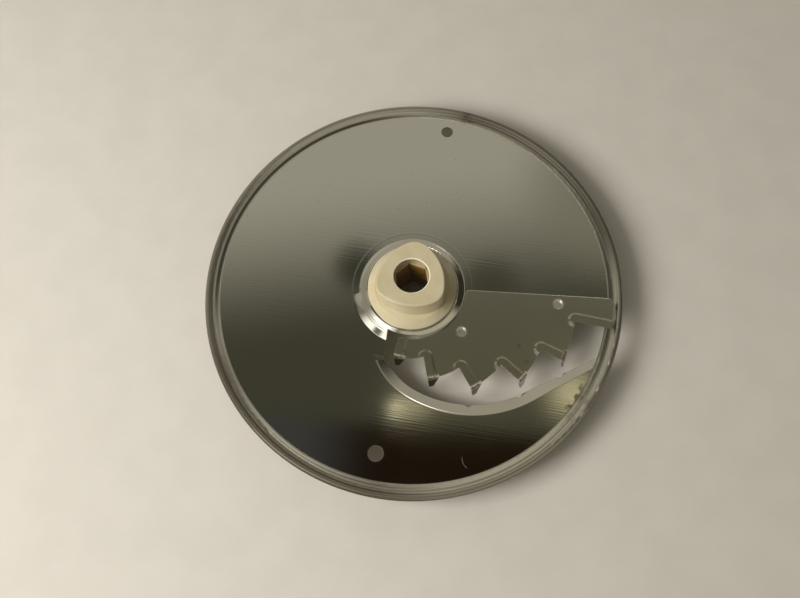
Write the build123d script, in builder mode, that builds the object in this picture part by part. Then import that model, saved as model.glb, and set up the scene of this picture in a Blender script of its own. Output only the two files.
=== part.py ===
"""Food processor chipping disc: stamped steel plate, stepped blade and moulded hub.

Millimetres, +Z up along the drive axis with the hub boss uppermost. The origin is on
the axis at the foot of the hub, and X runs along the straight rear edge of the blade.
"""
from build123d import *
from math import asin, atan, cos, degrees, hypot, radians, sin, sqrt, tan
import os

# Plate: a flat sheet with a raised hub seat, a groove and a bead turned down at the rim
plate_top = 14.0
sheet = 0.8
disc_radius = 87.5
hub_hole_radius = 13.2
seat_margin = 0.4
seat_rise = 1.5
seat_slope = 27.0
seat_knee_radius = 1.0
seat_hollow_radius = 4.0
seat_foot_slope = 5.0
seat_foot_length = 2.5
seat_foot_radius = 6.0
groove_slope = 40.0
groove_shoulder_radius = 2.2
groove_radius = 1.6
bead_slope = 60.0
bead_radius = 1.3
skirt_length = 1.1

# Plain holes in the plate, on one line through the axis
far_hole_radius = 2.5
far_hole_inset = 12.0
near_hole_radius = 3.2
near_hole_inset = 16.9
hole_line_angle = 82.2

# Cutting window, open between the blade and a lip that slopes down towards it.
# Places in its plan are shares of its outer radius
window_rim_inset = 6.7
window_seat_gap = 1.6
window_left_share = -0.11
window_left_foot_share = (-0.12, -0.3787)
window_turn_angle = -82.0
window_rear_shares = [(0.26, -0.285), (0.545, -0.217), (0.792, -0.111)]
window_top_share = -0.052
relief_rim_inset = 2.6
relief_foot_share = -0.104
lip_left_center_share = (0.1894, -0.2401)
lip_left_share = 0.3837
lip_left_start = -160.5
lip_join_angle = -115.4
lip_main_share = 0.6436
lip_run_angle = -57.5
lip_reach = 4.9
lip_slope = 25.0
lip_bend_radius = 2.4
lip_start_angle = -155.5
lip_end_gap = 0.4
lip_end_reach = 3.4
lip_start_reach = 2.4
lip_full_angle = -133.0
notch_depth = 1.1
notch_width = 3.6
notch_angles = [-88.0, -62.8]
notch_run_share = 0.177

# Blade: a second sheet on the plate, with one knife edge for each step
blade_sheet = 0.8
blade_rear_y = 0.6
blade_rim_inset = 4.1
blade_seat_gap = 3.2
blade_corner_radius = 2.4
blade_heel_radius = 1.8
blade_edge_radius = 0.25
knife_shares = [0.0, 0.134, 0.284, 0.441, 0.601, 0.758, 1.0]
knife_angles = [-100.4, -77.2, -57.4, -39.2, -23.8, -8.9]
band_setback = 0.8
band_radius = 2.3
joggle_rise = 0.9
joggle_run = 0.8
bevel_run = 2.1
edge_land = 0.1

# Fins, bent down at the outer end of each knife edge but the last
fin_width = 4.7
fin_tip_width = 1.8
fin_tip_setback = 0.5
fin_tip_height = 6.0
fin_bend_radius = 1.6
fin_bend_angle = 85.0
fin_bend_reach = 0.6
fin_seat = 2.2
fin_tab_inset = 0.2
fin_front = 0.15
fin_relief = 0.3

# Clinched joints that hold the blade: cups pressed down through the plate
clinch_shares = [(0.2578, -0.2134), (0.7278, -0.0396)]
clinch_radius = 2.0
clinch_wall = 0.35
clinch_floor = 0.5
clinch_proud = 0.3

# Hub: one moulding, clamped on both faces of the plate
hub_rise = 15.5
collar_radius = 18.6
collar_wall = 0.8
shoulder_radius = 15.6
shoulder_rise = 4.7
shoulder_fall = 0.5
boss_side_reach = 13.0
boss_side_offset = 8.0
boss_corner_radius = 7.0
boss_lobe_count = 3
boss_lobe_angle = 85.0
boss_edge_radius = 0.7
mouth_radius = 7.2
mouth_depth = 4.6
mouth_chamfer = 0.3
hex_across_flats = 12.4
hex_corner_angle = 42.0
flange_radius = 16.6
flange_height = 3.0
skirt_top_radius = 14.6
skirt_foot_radius = 13.6
foot_chamfer = 0.5
socket_radius = 9.0
socket_depth = 5.0

# How far a cutting solid runs past what it cuts
spare = 1.0

plate_under = plate_top - sheet
blade_top = plate_top + blade_sheet
seat_top = plate_top + seat_rise
hub_top = plate_top + hub_rise
seat_radius = collar_radius + seat_margin
window_inner_radius = seat_radius + window_seat_gap
window_outer_radius = disc_radius - window_rim_inset
relief_radius = disc_radius - relief_rim_inset
blade_inner_radius = seat_radius + blade_seat_gap
blade_outer_radius = disc_radius - blade_rim_inset
blade_span = blade_outer_radius - blade_inner_radius
knife_radii = [blade_inner_radius + blade_span * share for share in knife_shares]

os.makedirs("parts", exist_ok=True)


def scaled(size, share):
    """Point in the plan from its shares of a size."""
    return (size * share[0], size * share[1])


def polar(radius, angle, center=(0.0, 0.0)):
    """Point in the plan at a radius and an angle in degrees about a centre."""
    return (center[0] + radius * cos(radians(angle)), center[1] + radius * sin(radians(angle)))


def polar3(angle):
    """Level direction in space at an angle in degrees."""
    return (*polar(1.0, angle), 0.0)


def along(start, angle, length):
    """Point in the plan at a length from a start, in a direction in degrees."""
    return polar(length, angle, start)


def run_to_radius(start, angle, radius):
    """Length from a start, in a direction in degrees, to a circle about the axis."""
    forward = start[0] * cos(radians(angle)) + start[1] * sin(radians(angle))
    return sqrt(forward**2 + radius**2 - hypot(*start) ** 2) - forward


clinch_places = [scaled(blade_outer_radius, share) for share in clinch_shares]

# The lip's fold line: a tight arc, a wide arc and a straight run, each tangent to the last
lip_left_center = scaled(window_outer_radius, lip_left_center_share)
lip_left_radius = window_outer_radius * lip_left_share
lip_main_radius = window_outer_radius * lip_main_share
lip_main_center = polar(lip_left_radius - lip_main_radius, lip_join_angle, lip_left_center)
lip_left_end = polar(lip_left_radius, lip_left_start, lip_left_center)
lip_run_start = polar(lip_main_radius, lip_run_angle, lip_main_center)
lip_run_heading = lip_run_angle + 90.0
lip_run_length = run_to_radius(lip_run_start, lip_run_heading, window_outer_radius)
lip_run_end = along(lip_run_start, lip_run_heading, lip_run_length)


def section_plane(center, radius, angle):
    """Upright plane square to the lip's fold line, with its local X pointing away from the window."""
    place = (*polar(radius, angle, center), plate_top)
    return Plane(place, x_dir=polar3(angle), z_dir=polar3(angle - 90.0))


def lip_curve():
    """Draw the outline of the lip's section: a bend at the fold, then a straight slope."""
    bend = JernArc((0, 0), (-1, 0), lip_bend_radius, lip_slope)
    slope_run = lip_reach - lip_bend_radius * sin(radians(lip_slope))
    Line(bend @ 1, bend @ 1 - (slope_run, slope_run * tan(radians(lip_slope))))
    offset(amount=sheet, side=Side.LEFT)


def seat_curve(start_radius):
    """Draw the plate's upper face from a radius on the hub seat out to the flat plate."""
    seat = Line((start_radius, seat_top), (seat_radius, seat_top))
    knee = JernArc(seat @ 1, seat % 1, seat_knee_radius, -seat_slope)
    ramp = Line(knee @ 1, knee @ 1 + (knee % 1) * seat_ramp)
    hollow = JernArc(ramp @ 1, ramp % 1, seat_hollow_radius, seat_slope - seat_foot_slope)
    foot = Line(hollow @ 1, hollow @ 1 + (hollow % 1) * seat_foot_length)
    return JernArc(foot @ 1, foot % 1, seat_foot_radius, seat_foot_slope)


def knife_bands():
    """Draw the foot of the raised band along each knife edge, round at its inner end."""
    foot_radius = band_radius + joggle_run
    for step, angle in enumerate(knife_angles):
        start = along(polar(knife_radii[step], angle), angle + 90.0, band_setback)
        if step == 0:
            start = along(start, angle, -foot_radius)
        length = knife_radii[step + 1] - knife_radii[step] + 2 * foot_radius
        with Locations(Location((*along(start, angle, length / 2), 0), (0, 0, angle))):
            SlotCenterToCenter(length, 2 * foot_radius)


# The raised seat falls by a knee, a ramp, a hollow and a long shallow foot
seat_knee_drop = seat_knee_radius * (1.0 - cos(radians(seat_slope)))
seat_hollow_drop = seat_hollow_radius * (cos(radians(seat_foot_slope)) - cos(radians(seat_slope)))
seat_foot_drop = seat_foot_length * sin(radians(seat_foot_slope)) + seat_foot_radius * (
    1.0 - cos(radians(seat_foot_slope))
)
seat_ramp_drop = seat_rise - seat_knee_drop - seat_hollow_drop - seat_foot_drop
seat_ramp = seat_ramp_drop / sin(radians(seat_slope))

# The rim, worked inwards from the disc's outer radius
rim_run = (
    (groove_shoulder_radius + groove_radius) * sin(radians(groove_slope))
    + (groove_radius + bead_radius) * sin(radians(bead_slope))
    + bead_radius
)

band_top = blade_top + joggle_rise
band_edge = band_setback + band_radius - fin_tab_inset
fin_tabs = [(band_top, 0.0, band_edge), (blade_top, band_edge, fin_width)]
band_under = plate_top + joggle_rise
bevel_rise = blade_sheet - edge_land

with BuildPart() as disc_plate:
    with BuildSketch(Plane.XZ):
        with BuildLine():
            flare = seat_curve(hub_hole_radius)
            flat = Line(flare @ 1, (disc_radius - rim_run, plate_top))
            shoulder = JernArc(flat @ 1, flat % 1, groove_shoulder_radius, -groove_slope)
            groove = JernArc(shoulder @ 1, shoulder % 1, groove_radius, groove_slope + bead_slope)
            bead = JernArc(groove @ 1, groove % 1, bead_radius, -(bead_slope + 90.0))
            Line(bead @ 1, bead @ 1 - (0, skirt_length))
            offset(amount=sheet, side=Side.RIGHT)
        make_face()
    revolve(axis=Axis.Z)

    # The cutting window, with a relief at its outer rear corner
    with BuildSketch(Plane.XY.offset(seat_top + spare)):
        with BuildLine():
            left_x = window_outer_radius * window_left_share
            left_head = (left_x, -sqrt(window_inner_radius**2 - left_x**2))
            left_angle = degrees(asin(left_x / window_inner_radius)) - 90.0
            CenterArc((0, 0), window_inner_radius, left_angle, window_turn_angle - left_angle)
            turn = polar(window_inner_radius, window_turn_angle)
            rear_points = [scaled(window_outer_radius, share) for share in window_rear_shares]
            top_y = window_outer_radius * window_top_share
            top_angle = degrees(asin(window_top_share))
            Spline(turn, *rear_points, polar(window_outer_radius, top_angle))
            foot_angle = degrees(asin(lip_run_end[1] / window_outer_radius))
            CenterArc((0, 0), window_outer_radius, foot_angle, top_angle - foot_angle)
            CenterArc(lip_left_center, lip_left_radius, lip_left_start, lip_join_angle - lip_left_start)
            CenterArc(lip_main_center, lip_main_radius, lip_join_angle, lip_run_angle - lip_join_angle)
            Line(lip_run_start, lip_run_end)
            Polyline(lip_left_end, scaled(window_outer_radius, window_left_foot_share), left_head)
        make_face()
        with BuildLine():
            relief_top = degrees(asin(top_y / relief_radius))
            relief_foot = degrees(asin(window_outer_radius * relief_foot_share / relief_radius))
            inner_radius = window_outer_radius - spare
            outer = CenterArc((0, 0), relief_radius, relief_foot, relief_top - relief_foot)
            inner = CenterArc((0, 0), inner_radius, relief_foot, relief_top - relief_foot)
            Line(outer @ 0, inner @ 0)
            Line(outer @ 1, inner @ 1)
        make_face()
    extrude(amount=-(seat_top + spare), mode=Mode.SUBTRACT)

    # Plain holes, and the seats of the clinched cups
    with Locations(Plane.XY.offset(plate_top)):
        with Locations(polar(disc_radius - far_hole_inset, hole_line_angle)):
            Hole(far_hole_radius, depth=sheet + spare)
        with Locations(polar(disc_radius - near_hole_inset, hole_line_angle - 180.0)):
            Hole(near_hole_radius, depth=sheet + spare)
        with Locations(*clinch_places):
            Hole(clinch_radius + clinch_wall, depth=sheet + spare)

# The lip: bent down from the fold line, with three small notches in its edge
lip_arcs = [
    (lip_left_center, lip_left_radius, lip_start_angle, lip_join_angle),
    (lip_main_center, lip_main_radius, lip_join_angle, lip_run_angle),
]
with BuildPart() as lip:
    for center, radius, start_angle, end_angle in lip_arcs:
        with BuildSketch(section_plane(center, radius, start_angle)):
            with BuildLine():
                lip_curve()
            make_face()
        revolve(axis=Axis((*center, 0), (0, 0, 1)), revolution_arc=end_angle - start_angle)
    with BuildSketch(section_plane(lip_main_center, lip_main_radius, lip_run_angle)):
        with BuildLine():
            lip_curve()
        make_face()
    extrude(amount=-(lip_run_length + lip_reach))
    with Locations((0, 0, plate_top)):
        Cylinder(
            window_outer_radius - lip_end_gap,
            plate_top,
            align=(Align.CENTER, Align.CENTER, Align.MAX),
            mode=Mode.INTERSECT,
        )
    # The lip narrows towards both ends
    run_reach = lip_run_length + lip_reach
    run_edge = [
        (0, lip_reach),
        (run_reach, lip_end_reach),
        (run_reach, lip_reach + spare),
        (0, lip_reach + spare),
    ]
    with BuildSketch(Plane((*lip_run_start, plate_top), x_dir=polar3(lip_run_heading))):
        Polygon(*run_edge, align=None)
    extrude(amount=-plate_top, mode=Mode.SUBTRACT)
    with BuildSketch(Plane.XY.offset(plate_top)):
        Polygon(
            polar(lip_left_radius - lip_start_reach, lip_left_start, lip_left_center),
            polar(lip_left_radius - lip_reach, lip_full_angle, lip_left_center),
            lip_left_center,
            align=None,
        )
    extrude(amount=-plate_top, mode=Mode.SUBTRACT)
    edge_radius = lip_main_radius - lip_reach
    notch_place = window_outer_radius * notch_run_share
    notch_reach = lip_reach - (lip_reach - lip_end_reach) * notch_place / run_reach
    notch_foot = along(lip_run_start, lip_run_heading, notch_place)
    notch_spots = [(polar(edge_radius, angle, lip_main_center), angle) for angle in notch_angles]
    notch_spots.append((along(notch_foot, lip_run_heading + 90.0, notch_reach), lip_run_angle))
    for place, angle in notch_spots:
        with BuildSketch(Plane((*place, plate_top), x_dir=polar3(angle))):
            Polygon(
                (-spare, -notch_width / 2),
                (0, -notch_width / 2),
                (notch_depth, 0),
                (0, notch_width / 2),
                (-spare, notch_width / 2),
                align=None,
            )
        extrude(amount=-plate_top, mode=Mode.SUBTRACT)

with disc_plate:
    add(lip.part)
disc_plate.part.label = "disc_plate"

# Free space over the blade's sheet, all but the raised bands along the knife edges
band_slope = degrees(atan(joggle_run / joggle_rise))
with BuildPart() as headroom:
    with BuildSketch(Plane.XY.offset(blade_top)):
        Circle(disc_radius)
    extrude(amount=joggle_rise + spare)
    with BuildSketch(Plane.XY.offset(blade_top)):
        knife_bands()
    extrude(amount=joggle_rise, taper=band_slope, mode=Mode.SUBTRACT)

# One fin, with X away from the axis and Y back from the knife edge
with BuildPart() as fin:
    for level, near_side, far_side in fin_tabs:
        with BuildSketch(Plane.XZ.offset(-near_side)):
            with BuildLine():
                tab = Line((-fin_seat, level), (fin_bend_reach - fin_bend_radius, level))
                bend = JernArc(tab @ 1, tab % 1, fin_bend_radius, -fin_bend_angle)
                Line(bend @ 1, bend @ 1 + (bend % 1) * level)
                offset(amount=blade_sheet, side=Side.RIGHT)
            make_face()
        extrude(amount=near_side - far_side)
    with BuildSketch(Plane.YZ.offset(-fin_seat)):
        with BuildLine():
            Polyline(
                (fin_front, band_top + spare),
                (fin_front, plate_top),
                (fin_tip_setback, fin_tip_height),
                (fin_tip_setback + fin_tip_width, fin_tip_height),
                (fin_width, plate_top),
                (fin_width, band_top + spare),
                close=True,
            )
        make_face()
    extrude(amount=disc_radius, mode=Mode.INTERSECT)

with BuildPart() as blade:
    with BuildSketch(Plane.XY.offset(plate_top)):
        with BuildLine():
            inner_start = degrees(asin(blade_rear_y / blade_inner_radius))
            outer_end = degrees(asin(blade_rear_y / blade_outer_radius))
            CenterArc((0, 0), blade_inner_radius, inner_start, knife_angles[0] - inner_start)
            for step, angle in enumerate(knife_angles):
                Line(polar(knife_radii[step], angle), polar(knife_radii[step + 1], angle))
            for radius, angle, next_angle in zip(knife_radii[1:], knife_angles, knife_angles[1:]):
                CenterArc((0, 0), radius, angle, next_angle - angle)
            CenterArc((0, 0), blade_outer_radius, knife_angles[-1], outer_end - knife_angles[-1])
            Line(polar(blade_outer_radius, outer_end), polar(blade_inner_radius, inner_start))
        make_face()
    extrude(amount=blade_sheet + joggle_rise)
    rear_corners = blade.edges().filter_by(Axis.Z).group_by(Axis.Y)[-1].sort_by(Axis.X)
    fillet(rear_corners[-1], blade_corner_radius)
    fillet(rear_corners[0], blade_heel_radius)
    add(headroom.part, mode=Mode.SUBTRACT)
    rear_edge = blade.edges().filter_by(GeomType.LINE).group_by(Axis.Y)[-1].sort_by(Axis.Z)[-1]
    fillet(rear_edge, blade_edge_radius)
    with BuildSketch(Plane.XY.offset(plate_top)):
        knife_bands()
    extrude(amount=joggle_rise, taper=band_slope, mode=Mode.SUBTRACT)

    for radius, angle in zip(knife_radii[1:], knife_angles[:-1]):
        half_turn = degrees(fin_width / 2 / radius)
        with Locations(Location((*polar(radius, angle), plate_top), (0, 0, angle + half_turn))):
            Box(
                2 * (fin_bend_radius - fin_bend_reach),
                2 * (fin_width + fin_relief),
                2 * (blade_sheet + joggle_rise),
                mode=Mode.SUBTRACT,
            )
        with Locations(Location((*polar(radius, angle), 0), (0, 0, angle + half_turn))):
            add(fin.part)

    # Each knife edge is ground on its lower side
    for step, angle in enumerate(knife_angles):
        edge_plane = Plane(origin=(0, 0, band_under), x_dir=polar3(angle + 90.0), z_dir=polar3(angle))
        with BuildSketch(edge_plane.offset(knife_radii[step])):
            Polygon(
                (-spare, bevel_rise),
                (0, bevel_rise),
                (2 * bevel_run, -bevel_rise),
                (-spare, -bevel_rise),
                align=None,
            )
        extrude(amount=knife_radii[step + 1] - knife_radii[step] + spare, mode=Mode.SUBTRACT)

    # The inner edge lies on the foot of the plate's raised seat
    with BuildSketch(Plane.XZ):
        with BuildLine():
            flare = seat_curve(0)
            Polyline(flare @ 1, (0, plate_top), (0, seat_top))
        make_face()
    revolve(axis=Axis.Z, mode=Mode.SUBTRACT)

    # Clinched cups
    with Locations(*[(*place, blade_top) for place in clinch_places]):
        Cylinder(
            clinch_radius + clinch_wall,
            blade_sheet + sheet + clinch_proud,
            align=(Align.CENTER, Align.CENTER, Align.MAX),
        )
        Cylinder(
            clinch_radius,
            blade_sheet + sheet + clinch_proud - clinch_floor,
            align=(Align.CENTER, Align.CENTER, Align.MAX),
            mode=Mode.SUBTRACT,
        )
blade.part.label = "blade"

# Hub: turned body, lobed boss, drive socket
with BuildPart() as hub:
    with BuildSketch(Plane.XZ):
        with BuildLine():
            flange_top = seat_top - sheet
            flange_foot = flange_top - flange_height
            Polyline(
                (0, 0),
                (skirt_foot_radius - foot_chamfer, 0),
                (skirt_foot_radius, foot_chamfer),
                (skirt_top_radius, flange_foot),
                (flange_radius, flange_foot),
                (flange_radius, flange_top),
                (hub_hole_radius, flange_top),
                (hub_hole_radius, seat_top),
                (collar_radius, seat_top),
                (collar_radius, seat_top + collar_wall),
                (shoulder_radius, plate_top + shoulder_rise),
                (0, plate_top + shoulder_rise + shoulder_fall),
                close=True,
            )
        make_face()
    revolve(axis=Axis.Z)
    with BuildSketch(Plane.XY.offset(plate_top + shoulder_rise)) as lobes:
        Circle(boss_side_reach + boss_side_offset)
        for lobe in range(boss_lobe_count):
            valley = boss_lobe_angle + 360.0 / boss_lobe_count * (lobe + 0.5)
            with Locations(polar(-boss_side_offset, valley)):
                Circle(boss_side_reach + boss_side_offset, mode=Mode.INTERSECT)
        fillet(lobes.vertices(), boss_corner_radius)
    extrude(amount=hub_rise - shoulder_rise)
    fillet(hub.faces().sort_by(Axis.Z)[-1].edges(), boss_edge_radius)
    with Locations(Plane.XY.offset(hub_top)):
        Cone(
            mouth_radius,
            mouth_radius + mouth_chamfer,
            mouth_chamfer,
            align=(Align.CENTER, Align.CENTER, Align.MAX),
            mode=Mode.SUBTRACT,
        )
    with BuildSketch(Plane.XY.offset(hub_top)):
        Circle(mouth_radius)
    extrude(amount=-mouth_depth, mode=Mode.SUBTRACT)
    with BuildSketch(Plane.XY.offset(hub_top)):
        RegularPolygon(hex_across_flats / 2, 6, major_radius=False, rotation=hex_corner_angle)
    extrude(amount=-hub_top, mode=Mode.SUBTRACT)
    with BuildSketch(Plane.XY):
        Circle(socket_radius)
    extrude(amount=socket_depth, mode=Mode.SUBTRACT)
hub.part.label = "hub"

export_step(disc_plate.part, "parts/disc_plate.step")
export_step(blade.part, "parts/blade.step")
export_step(hub.part, "parts/hub.step")
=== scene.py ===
"""Looks of the food processor disc: brushed steel plate and blade, glossy cream hub.

Metres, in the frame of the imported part: +Z up, the hub's foot at z = 0 on the table.
"""
import math

import bpy
from mathutils import Matrix, Vector

MM = 0.001

# The photograph's width in pixels
WIDTH = 800

# Heights of the plate's and the blade's upper faces
FACE = 0.014
BLADE_FACE = 0.0148

# The foot of the hub seat: its outer radius, the arc at its end, its width and its slope
SEAT_END = 0.025366
SEAT_ARC = 0.006
SEAT_FOOT = 0.0031
SEAT_SLOPE = math.radians(5)

# Radii on the rim: its start, the groove's side and floor, the bead's inner and outer side
RIM = 0.0813
GROOVE_SIDE = 0.0826
GROOVE_FLOOR = 0.0839
BEAD_INSIDE = 0.0855
BEAD_OUTSIDE = 0.0869

# Azimuths of the rim's sectors with painted grey and dark shade, and of the steeper part of the hub
# seat
UPPER_RIGHT = 48
LOWER_LEFT = 238
UPPER_LEFT = 145
STEEP_SEAT = -127

# The radius of the mouth's rounded edge in the hub and the height of the hub's top
MOUTH = 0.0074
TOP = 0.0295

# Centres of the marks on the plate, and the arc that the scratch is a part of
BRUSHED_LEFT = (0.002, -0.050, FACE)
BRUSHED_RIGHT = (0.065, -0.040, FACE)
FLAKES = (0.068, -0.0435, FACE)
SMUDGE = (0.0195, 0.0825, FACE)
SCRATCH = (0.025, -0.0713, FACE)
SCRATCH_ARC = (0.0285, -0.0695, FACE)
SCRATCH_ARC_RADIUS = 0.004

# Centres of the blade's two clinched cups and of its smears
LEFT_CUP = (0.0215, -0.0178, FACE + 0.0001)
RIGHT_CUP = (0.0607, -0.0033, FACE + 0.0001)
SMEARS = (0.045, -0.018, BLADE_FACE)

# Roughness of the plate and the blade, what the rim and its grey parts add, and the hub's
PLATE_ROUGHNESS = 0.06
BLADE_ROUGHNESS = 0.17
RIM_ROUGHNESS = 0.225
GREY_RIM_SHARE = 0.6
HUB_ROUGHNESS = 0.16
HUB_COAT_ROUGHNESS = 0.06
PLASTIC_IOR = 1.5
TABLE_ROUGHNESS = 0.55

# The strength of the plate's and the blade's grain, and its height
PLATE_GRAIN = 0.022
BLADE_GRAIN = 0.03
GRAIN_HEIGHT = 0.0002

# Radii of the edges that are rounded in shading: on sheet, in the rim and on the hub
SHEET_EDGE = 0.0002
RIM_EDGE = 0.0005
HUB_EDGE = 0.0004

# The table's size and how far it lies under the hub's foot
TABLE_SIZE = 6.0
TABLE_DROP = 0.0001

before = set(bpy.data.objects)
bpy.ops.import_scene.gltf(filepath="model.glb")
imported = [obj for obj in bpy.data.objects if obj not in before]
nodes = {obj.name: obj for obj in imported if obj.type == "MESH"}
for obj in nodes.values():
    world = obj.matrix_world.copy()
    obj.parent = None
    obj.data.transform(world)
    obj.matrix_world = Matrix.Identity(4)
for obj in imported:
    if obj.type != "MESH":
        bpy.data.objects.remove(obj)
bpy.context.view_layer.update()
scene = bpy.context.scene


class Graph:
    """Short calls for building a node tree."""

    def __init__(self, tree):
        self.tree = tree

    def add(self, kind, inputs=None, **settings):
        """Add a node, set its properties and fill or link its input sockets."""
        node = self.tree.nodes.new(kind)
        for name, value in settings.items():
            setattr(node, name, value)
        for key, value in (inputs or {}).items():
            socket = node.inputs[key]
            if isinstance(value, bpy.types.NodeSocket):
                self.tree.links.new(value, socket)
            else:
                socket.default_value = value
        return node

    def math(self, operation, a, b=0.0):
        """A Math node's result."""
        return self.add("ShaderNodeMath", {0: a, 1: b}, operation=operation).outputs[0]

    def fold(self, operation, first, *others):
        """A Math node's result carried on over several values."""
        for other in others:
            first = self.math(operation, first, other)
        return first

    def product(self, *values):
        """Several values multiplied."""
        return self.fold("MULTIPLY", *values)

    def total(self, *values):
        """Several values added."""
        return self.fold("ADD", *values)

    def highest(self, *values):
        """The highest of several values."""
        return self.fold("MAXIMUM", *values)

    def dot(self, vector, fixed):
        """Dot product with a fixed vector."""
        node = self.add("ShaderNodeVectorMath", {0: vector, 1: fixed}, operation="DOT_PRODUCT")
        return node.outputs["Value"]

    def distance(self, vector, fixed):
        """Distance from a fixed point."""
        node = self.add("ShaderNodeVectorMath", {0: vector, 1: fixed}, operation="DISTANCE")
        return node.outputs["Value"]

    def noise(self, vector, scale, detail=3.0, stretch=(1.0, 1.0, 1.0), turn=0.0):
        """A Noise texture's value, 0 to 1, on coordinates turned about Z and stretched."""
        mapping = self.add(
            "ShaderNodeMapping", {"Vector": vector, "Rotation": (0, 0, turn)}, vector_type="POINT"
        )
        stretched = self.add(
            "ShaderNodeVectorMath", {0: mapping.outputs[0], 1: stretch}, operation="MULTIPLY"
        )
        node = self.add(
            "ShaderNodeTexNoise", {"Vector": stretched.outputs[0], "Scale": scale, "Detail": detail}
        )
        return node.outputs["Fac"]

    def ramp(self, value, low, high, out_low=0.0, out_high=1.0):
        """Map a range of values smoothly onto another, clamped."""
        span = {"From Min": low, "From Max": high, "To Min": out_low, "To Max": out_high}
        node = self.add(
            "ShaderNodeMapRange", {"Value": value, **span}, interpolation_type="SMOOTHSTEP"
        )
        return node.outputs["Result"]

    def beside(self, value, line, outer, inner):
        """A soft line: 1 within the inner distance of a value, 0 past the outer one."""
        return self.ramp(self.math("ABSOLUTE", self.math("SUBTRACT", value, line)), outer, inner)

    def plan(self, place):
        """The height of a place, its position in plan and its distance from the axis."""
        parts = self.add("ShaderNodeSeparateXYZ", {0: place}).outputs
        flat = self.add("ShaderNodeCombineXYZ", {"X": parts["X"], "Y": parts["Y"]}).outputs[0]
        return parts["Z"], flat, self.distance(flat, (0, 0, 0))

    def mix(self, factor, a, b, blend="MIX"):
        """Mix two colours."""
        node = self.add("ShaderNodeMix", data_type="RGBA", blend_type=blend)
        for index, value in ((0, factor), (6, a), (7, b)):
            socket = node.inputs[index]
            if isinstance(value, bpy.types.NodeSocket):
                self.tree.links.new(value, socket)
            else:
                socket.default_value = value
        return node.outputs[2]


def material(name):
    """A new node material: its graph and its Principled shader."""
    made = bpy.data.materials.new(name)
    made.use_nodes = True
    shader = made.node_tree.nodes["Principled BSDF"]
    return made, Graph(made.node_tree), shader


def assign(node_name, made):
    """Give a CAD node one material in every slot."""
    slots = nodes[node_name].data.materials
    for index in range(len(slots)):
        slots[index] = made


def rgb(red, green, blue):
    """A linear colour from 8-bit sRGB numbers."""
    channels = [value / 255.0 for value in (red, green, blue)]
    linear = [c / 12.92 if c <= 0.04045 else ((c + 0.055) / 1.055) ** 2.4 for c in channels]
    return (*linear, 1.0)


def heading(azimuth, elevation):
    """Unit vector from degrees. Azimuth 0 is +X, 90 is +Y."""
    a, e = math.radians(azimuth), math.radians(elevation)
    return Vector((math.cos(e) * math.cos(a), math.cos(e) * math.sin(a), math.sin(e)))


def spot(graph, place, center, inner, outer):
    """A soft round mark: 1 within the inner radius of its centre, 0 past the outer one."""
    return graph.ramp(graph.distance(place, center), outer, inner)


def sector(graph, flat, radius, azimuth, none, full, out_none=0.0, out_full=1.0):
    """A soft sector of the disc round an azimuth, between two cosines of the angle from it."""
    cosine = graph.math("DIVIDE", graph.dot(flat, heading(azimuth, 0)), radius)
    return graph.ramp(cosine, none, full, out_none, out_full)


def upward_slope(graph):
    """The height part of the surface's own normal."""
    facing = graph.add("ShaderNodeNewGeometry").outputs["True Normal"]
    return graph.dot(facing, (0, 0, 1))


# Stainless steel of the plate and the blade
def steel(name, colour, roughness, wear_and_shade):
    """Polished steel with a fine grain and soft edges.

    The wear-and-shade function gives the tint (real marks and painted shade), the added
    roughness, the grain's strength, the radius of the softened edges and the shading height.
    """
    made, graph, shader = material(name)
    place = graph.add("ShaderNodeTexCoord").outputs["Object"]
    grain = graph.noise(place, 1500.0, 3.0, (0.02, 1.0, 1.0), 0.1)
    smear = graph.noise(place, 30.0, 3.0)
    tint, dull, streaks, rounding, lift = wear_and_shade(graph, place, colour)
    shader.inputs["Metallic"].default_value = 1.0
    graph.tree.links.new(tint, shader.inputs["Base Color"])
    rough = graph.total(graph.ramp(smear, 0.3, 0.7, roughness, roughness + 0.015), dull)
    graph.tree.links.new(rough, shader.inputs["Roughness"])
    normal = graph.add("ShaderNodeBevel", {"Radius": rounding}, samples=4).outputs["Normal"]
    for shape, strength, distance in ((lift, 1.0, 1.0), (grain, streaks, GRAIN_HEIGHT)):
        bump = {"Height": shape, "Strength": strength, "Distance": distance, "Normal": normal}
        normal = graph.add("ShaderNodeBump", bump).outputs["Normal"]
    graph.tree.links.new(normal, shader.inputs["Normal"])
    return made


def seat_lift(graph, flat, radius):
    """Shading height at the foot of the hub seat: flatter all round, steeper at the lower left."""
    reach = graph.math("MAXIMUM", graph.math("SUBTRACT", SEAT_END, radius), 0.0)
    arc = graph.math("MINIMUM", reach, SEAT_ARC * math.sin(SEAT_SLOPE))
    line = graph.math("MINIMUM", graph.math("SUBTRACT", reach, arc), SEAT_FOOT)
    slope = graph.product(line, math.tan(SEAT_SLOPE))
    curve = graph.math("DIVIDE", graph.product(arc, arc), 2 * SEAT_ARC)
    change = sector(graph, flat, radius, STEEP_SEAT, 0.70, 0.94, -1.0, 2.2)
    return graph.product(graph.total(slope, curve), change)


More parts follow.
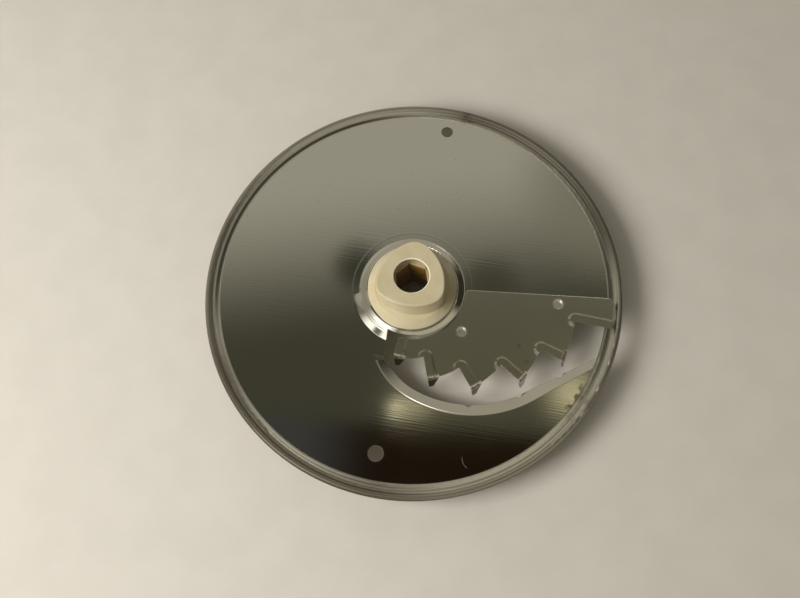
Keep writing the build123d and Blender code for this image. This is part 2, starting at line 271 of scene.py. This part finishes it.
def plate_wear_and_shade(graph, place, colour):
    """Brushed patches by the window, stains, painted shade on the rim, one curved scratch."""
    height, flat, radius = graph.plan(place)
    brushed = graph.highest(
        spot(graph, place, BRUSHED_LEFT, 0.0, 0.012),
        spot(graph, place, BRUSHED_RIGHT, 0.0, 0.018),
    )
    brushed = graph.product(brushed, graph.ramp(height, FACE - 0.00015, FACE - 0.00002))

    # Specks, stain flakes inside the rim, a smudge on top of it and the scratch
    speck = graph.ramp(graph.noise(place, 1100.0, 1.0), 0.77, 0.82)
    tint = graph.mix(speck, colour, rgb(150, 145, 130))
    flakes = spot(graph, place, FLAKES, 0.004, 0.010)
    flakes = graph.product(flakes, graph.ramp(radius, 0.0785, 0.0800, 0.0, 0.45))
    smudge = spot(graph, place, SMUDGE, 0.0, 0.005)
    blotch = graph.ramp(graph.noise(place, 260.0, 4.0), 0.42, 0.58)
    stain = graph.product(graph.highest(flakes, smudge), blotch)
    tint = graph.mix(stain, tint, rgb(120, 102, 72))
    ring = graph.distance(place, SCRATCH_ARC)
    ring = graph.beside(ring, SCRATCH_ARC_RADIUS, 0.00022, 0.00008)
    scratch = graph.product(ring, spot(graph, place, SCRATCH, 0.0022, 0.0026))

    # The rim: painted shade makes it grey at the upper right, with a painted brown shade line
    # along the groove's floor there, and grey at the lower left; a painted dark shade line on
    # the groove's side at the upper left; a darker bead; and painted shade on the steep outer side
    rim = graph.ramp(radius, RIM - 0.0005, RIM)
    upper = sector(graph, flat, radius, UPPER_RIGHT, 0.70, 0.92)
    lower = sector(graph, flat, radius, LOWER_LEFT, 0.70, 0.92)
    left = sector(graph, flat, radius, UPPER_LEFT, 0.55, 0.85)
    # Painted shade: a grey band and a brown line along the groove's floor at the upper right
    band_shade = graph.ramp(radius, GROOVE_FLOOR - 0.0003, GROOVE_FLOOR + 0.0003)
    tint = graph.mix(graph.product(band_shade, upper, 0.85), tint, rgb(96, 91, 80))
    line = graph.product(graph.beside(radius, GROOVE_FLOOR, 0.0008, 0.0003), upper, 0.6)
    tint = graph.mix(line, tint, rgb(80, 66, 42))
    # Painted shade: the rim is tinted grey at the lower left
    tint = graph.mix(graph.product(rim, lower, 0.8), tint, rgb(122, 116, 102))
    outer = graph.ramp(radius, BEAD_INSIDE - 0.0003, BEAD_INSIDE + 0.0003, 0.0, 0.5)
    tint = graph.mix(outer, tint, rgb(118, 110, 96))
    # Painted shade: a dark line on the groove's side at the upper left
    shade = graph.product(graph.beside(radius, GROOVE_SIDE, 0.0014, 0.0006), left, 0.85)
    tint = graph.mix(shade, tint, rgb(62, 56, 46))
    # Painted shade on the steep outer side of the bead
    steep = graph.ramp(upward_slope(graph), 0.7, 0.3)
    edge_shade = graph.ramp(radius, BEAD_OUTSIDE - 0.0002, BEAD_OUTSIDE + 0.0002)
    tint = graph.mix(graph.product(steep, edge_shade), tint, rgb(66, 60, 52))

    # Softer gloss on the whole rim, most where shade is painted on it, and grain only inside it
    hazy = graph.highest(upper, graph.product(left, 0.7), graph.product(lower, 0.6))
    hazy = graph.total(graph.product(hazy, GREY_RIM_SHARE), 1.0)
    haze = graph.product(rim, RIM_ROUGHNESS, hazy)
    dull = graph.total(haze, graph.product(stain, 0.15), graph.product(scratch, 0.20))
    inside = graph.ramp(radius, RIM + 0.0005, RIM - 0.0001)
    streaks = graph.product(graph.total(graph.product(brushed, 0.01), PLATE_GRAIN), inside)
    rounding = graph.ramp(radius, RIM - 0.0001, RIM + 0.0005, SHEET_EDGE, RIM_EDGE)
    return tint, dull, streaks, rounding, seat_lift(graph, flat, radius)


def blade_wear_and_shade(graph, place, colour):
    """Softly rounded clinched cups with a painted pale sheen, faint smears and painted shade on the
    knives' cut walls.
    """
    cups = graph.highest(
        spot(graph, place, LEFT_CUP, 0.0018, 0.0030),
        spot(graph, place, RIGHT_CUP, 0.0018, 0.0030),
    )
    smear = graph.ramp(graph.noise(place, 160.0, 4.0), 0.60, 0.72)
    patch = spot(graph, place, SMEARS, 0.004, 0.016)
    tint = graph.mix(graph.product(smear, patch), colour, rgb(160, 152, 132))
    # Painted shade on the knives' steep cut walls below the plate's face
    height = graph.plan(place)[0]
    steep = graph.ramp(graph.math("ABSOLUTE", upward_slope(graph)), 0.5, 0.2)
    wall_shade = graph.product(steep, graph.ramp(height, FACE - 0.0007, FACE - 0.0013))
    tint = graph.mix(wall_shade, tint, rgb(118, 108, 96))
    # Painted sheen: the cups' floors are tinted paler to stand in for their lighter reflection
    tint = graph.mix(cups, tint, rgb(246, 243, 234))
    rounding = graph.total(graph.product(cups, 0.0001), SHEET_EDGE)
    return tint, graph.product(cups, 0.06), BLADE_GRAIN, rounding, 0.0


assign("disc_plate", steel("plate_steel", rgb(205, 202, 190), PLATE_ROUGHNESS, plate_wear_and_shade))
assign("blade", steel("blade_steel", rgb(205, 201, 186), BLADE_ROUGHNESS, blade_wear_and_shade))

# Cream plastic of the hub, with painted shade in the bore and a painted highlight round its mouth
plastic, graph, shader = material("hub_plastic")
place = graph.add("ShaderNodeTexCoord").outputs["Object"]
stain = graph.noise(place, 120.0, 4.0)
tone = graph.mix(graph.ramp(stain, 0.35, 0.75), rgb(216, 204, 170), rgb(207, 193, 154))
height, flat, radius = graph.plan(place)
# Painted shade inside the bore
bore_shade = graph.product(
    graph.ramp(radius, MOUTH, MOUTH - 0.0002), graph.ramp(height, TOP - 0.001, TOP - 0.0075)
)
tone = graph.mix(bore_shade, tone, rgb(150, 118, 52))
# Painted highlight: a pale line round the mouth's rounded edge
mouth_highlight = graph.product(
    graph.beside(radius, MOUTH, 0.00035, 0.00015), graph.ramp(height, TOP - 0.0007, TOP - 0.0004)
)
tone = graph.mix(mouth_highlight, tone, rgb(252, 246, 222))
graph.tree.links.new(tone, shader.inputs["Base Color"])
shader.inputs["Roughness"].default_value = HUB_ROUGHNESS
shader.inputs["IOR"].default_value = PLASTIC_IOR
shader.inputs["Coat Weight"].default_value = 1.0
shader.inputs["Coat Roughness"].default_value = HUB_COAT_ROUGHNESS
rounded = graph.add("ShaderNodeBevel", {"Radius": HUB_EDGE}, samples=4).outputs["Normal"]
graph.tree.links.new(rounded, shader.inputs["Normal"])
assign("hub", plastic)

# The table
bpy.ops.mesh.primitive_plane_add(size=TABLE_SIZE, location=(0, 0, -TABLE_DROP))
table = bpy.context.object
table.name = "table"
finish, graph, shader = material("table_top")
place = graph.add("ShaderNodeTexCoord").outputs["Object"]
mottle = graph.noise(place, 60.0, 5.0)
tone = graph.mix(graph.ramp(mottle, 0.3, 0.7), rgb(222, 217, 207), rgb(218, 213, 203))
graph.tree.links.new(tone, shader.inputs["Base Color"])
shader.inputs["Roughness"].default_value = TABLE_ROUGHNESS
table.data.materials.append(finish)

# The camera, from the tilt, distance, aim and roll that fit the rim in the photograph
TILT = 0.33567
DISTANCE = 377.129
AIM = (-5.629, -3.690, 13.0)
ROLL = -0.10876
TURN = math.radians(10.2076)
FOCAL = 900.0
SENSOR = 36.0
back = Vector((0, -math.sin(TILT), math.cos(TILT)))
level = Vector((1, 0, 0))
up = back.cross(level)
across = level * math.cos(ROLL) + up * math.sin(ROLL)
upward = up * math.cos(ROLL) - level * math.sin(ROLL)
pose = Matrix.Identity(4)
for column, axis in enumerate((across, upward, back)):
    for row in range(3):
        pose[row][column] = axis[row]
pose.translation = (Vector(AIM) + DISTANCE * back) * MM
camera = bpy.data.objects.new("camera", bpy.data.cameras.new("camera"))
camera.matrix_world = Matrix.Rotation(TURN, 4, "Z") @ pose
camera.data.sensor_width = SENSOR
camera.data.lens = FOCAL / WIDTH * SENSOR
camera.data.clip_start = 0.01
scene.collection.objects.link(camera)
scene.camera = camera


def area_light(name, azimuth, elevation, distance, size, power, colour):
    """A square soft light aimed at the disc."""
    data = bpy.data.lights.new(name, "AREA")
    data.size = size
    data.energy = power
    data.color = colour
    lamp = bpy.data.objects.new(name, data)
    toward = heading(azimuth, elevation)
    lamp.location = toward * distance
    lamp.rotation_euler = toward.to_track_quat("Z", "Y").to_euler()
    scene.collection.objects.link(lamp)
    return lamp


key = area_light(
    "key",
    azimuth=-155,
    elevation=45,
    distance=0.70,
    size=0.34,
    power=3.95,
    colour=(1.0, 0.97, 0.93),
)
key.visible_glossy = False

# The room as seen in the steel: pale walls, a pale far ceiling, darkness over the camera
# and on the right, and small bright sources
world = bpy.data.worlds.new("room")
scene.world = world
world.use_nodes = True
graph = Graph(world.node_tree)
background = world.node_tree.nodes["Background"]
sight = graph.add("ShaderNodeTexCoord").outputs["Generated"]
height = graph.dot(sight, (0, 0, 1))
far = graph.dot(sight, heading(101, 0))


def paint(room, regions):
    """Paint soft round regions: azimuth, elevation, inner and outer angle and colour."""
    for azimuth, elevation, inner, outer, colour in regions:
        cosine = graph.dot(sight, heading(azimuth, elevation))
        limits = [math.cos(math.radians(angle)) for angle in (outer, inner)]
        room = graph.mix(graph.ramp(cosine, *limits), room, colour)
    return room


def add_patches(room, patches):
    """Add soft bright sources: azimuth, elevation, sharpness and colour."""
    for azimuth, elevation, sharpness, colour in patches:
        cosine = graph.dot(sight, heading(azimuth, elevation))
        power = graph.product(graph.math("SUBTRACT", cosine, 1.0), sharpness)
        room = graph.mix(graph.math("EXPONENT", power), room, colour, "ADD")
    return room


steep = graph.math("MAXIMUM", height, 0.05)
sideways = graph.math("DIVIDE", graph.dot(sight, (1, 0, 0)), steep)
forward = graph.math("DIVIDE", graph.dot(sight, (0, 1, 0)), steep)

# The walls
room = graph.mix(graph.ramp(height, 0.25, 0.45), rgb(184, 176, 162), rgb(162, 158, 144))
room = graph.mix(graph.ramp(forward, 0.0, -0.3), room, rgb(142, 138, 124))
room = paint(
    room,
    [
        (100, 42, 12, 45, rgb(177, 172, 158)),
        (122, 40, 6, 19, rgb(194, 189, 175)),
        (16, 34, 20, 43, rgb(54, 52, 43)),
        (-46, 50, 20, 38, rgb(200, 194, 176)),
    ],
)

# The ceiling, with the warm lamps that show in the brushed patches
over = graph.ramp(graph.math("DIVIDE", far, steep), 0.31, 0.52)
overhead = graph.mix(over, rgb(74, 74, 62), rgb(182, 179, 168))
overhead = paint(
    overhead,
    [
        (68, 60.5, 1, 8, rgb(140, 136, 122)),
        (106.8, 68.3, 0.3, 2.0, rgb(58, 58, 48)),
        (83, 69.8, 0.5, 2.4, rgb(72, 70, 58)),
    ],
)
overhead = add_patches(
    overhead,
    [
        (104.9, 77.6, 50000.0, (2.0, 1.85, 1.35, 1.0)),
        (101.0, 77.6, 30000.0, (0.8, 0.73, 0.5, 1.0)),
        (97.0, 77.6, 30000.0, (0.5, 0.46, 0.3, 1.0)),
        (96, 76.6, 2200.0, (0.13, 0.117, 0.065, 1.0)),
        (60, 74.3, 4200.0, (0.85, 0.78, 0.50, 1.0)),
        (80, 75.5, 500.0, (0.05, 0.047, 0.026, 1.0)),
    ],
)

# The dark person at the camera, a paler part at the right, and the room behind them
# with a broad light that has a grey middle
person = graph.mix(graph.ramp(sideways, -0.17, -0.07), rgb(70, 70, 70), rgb(32, 21, 12))
near = graph.product(graph.ramp(forward, 0.200, 0.186), graph.ramp(forward, 0.06, 0.11))
overhead = graph.mix(near, overhead, person)
side = graph.product(graph.ramp(sideways, 0.22, 0.29), graph.ramp(sideways, 0.62, 0.42))
overhead = graph.mix(side, overhead, rgb(160, 155, 142))
behind = paint(
    rgb(142, 138, 124),
    [
        (-150, 64, 8, 18, (1.7, 1.68, 1.6, 1.0)),
        (-159, 67, 1.5, 4, rgb(96, 94, 90)),
    ],
)
overhead = graph.mix(graph.ramp(forward, 0.10, 0.05), overhead, behind)
room = graph.mix(graph.ramp(height, 0.80, 0.88), room, overhead)

# A window behind at the left and a lamp in front
room = add_patches(
    room,
    [(-142, 42, 40.0, (3.2, 3.15, 3.0, 1.0)), (77, 46, 450.0, (4.4, 4.3, 4.0, 1.0))],
)
world.node_tree.links.new(room, background.inputs["Color"])

# Rays that aren't glossy meet a room that is dimmer towards the ceiling
glossy = graph.add("ShaderNodeLightPath").outputs["Is Glossy Ray"]
low = graph.ramp(height, 0.15, 0.60, 1.0, 0.50)
graph.tree.links.new(graph.ramp(glossy, 0.0, 1.0, low, 1.0), background.inputs["Strength"])

scene.view_settings.view_transform = "Standard"
